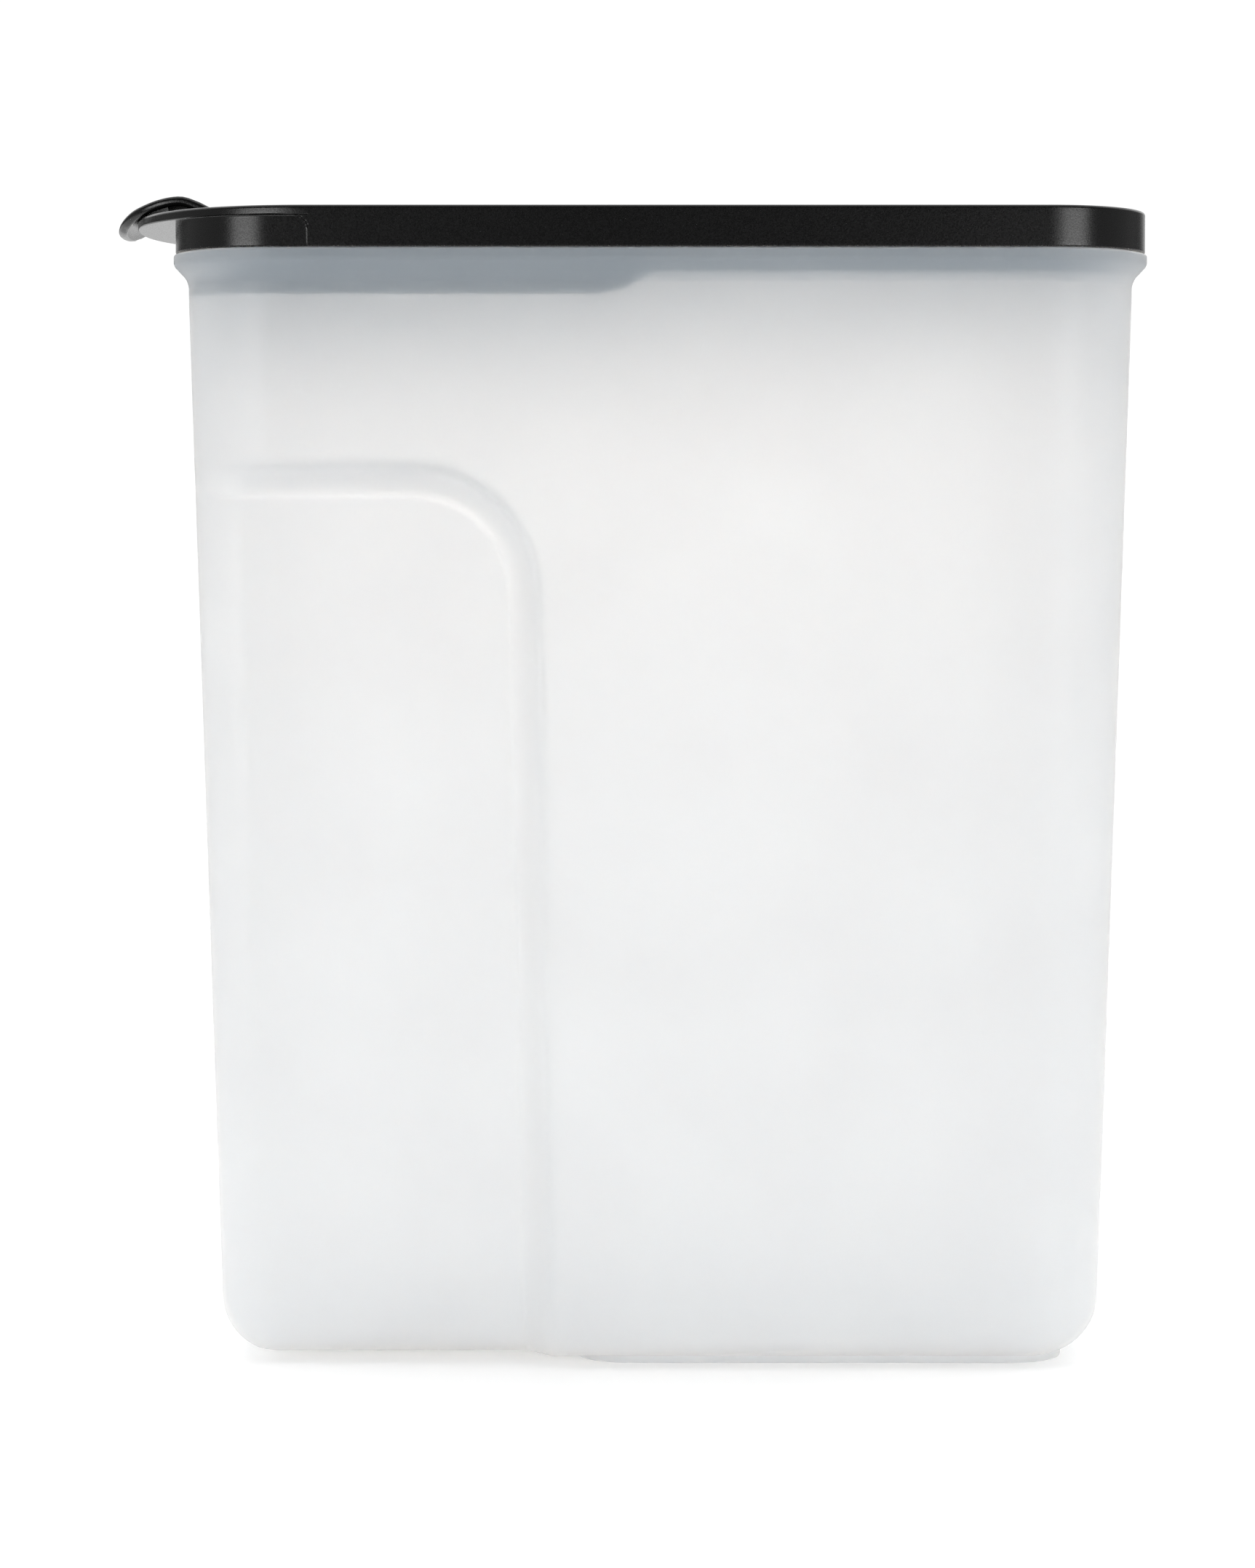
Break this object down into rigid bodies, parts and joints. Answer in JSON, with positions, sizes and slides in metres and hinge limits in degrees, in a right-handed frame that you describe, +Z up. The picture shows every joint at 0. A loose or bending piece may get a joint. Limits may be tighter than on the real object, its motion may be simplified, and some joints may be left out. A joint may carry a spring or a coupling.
{
  "type": "food canister",
  "caption": "Tapered upright dry-food canister, see-through with a stepped-in hand grip, under a black lift-off lid with a pouring nose and a hinged flip cap.",
  "frame": {"origin": "on the resting plane below the middle of the whole outline, thumb tab and pouring nose included", "axes": "+Z up; -X towards the pouring nose and the thumb tab; Y across the canister"},
  "size_m": [0.256, 0.109, 0.2893],
  "materials": {
    "milky_plastic": "translucent natural polypropylene, satin",
    "black_plastic": "satin black, fine moulded surface",
    "clear_silicone": "matte translucent silicone"
  },
  "bodies": {
    "container": {"container_body": "milky_plastic"},
    "lid": {"lid_base": "black_plastic", "rim_seal": "clear_silicone"},
    "cap": {"flip_cap": "black_plastic", "cap_seal": "clear_silicone"}
  },
  "joints": [
    {"name": "lid_lift", "type": "slide", "parent": "container", "child": "lid", "axis": [0, 0, 1], "range_m": [0, 0.06]},
    {"name": "cap_hinge", "type": "hinge", "parent": "lid", "child": "cap", "pos_m": [0.00045, 0, 0.2816], "axis": [0, 1, 0], "range_deg": [0, 110]}
  ]
}
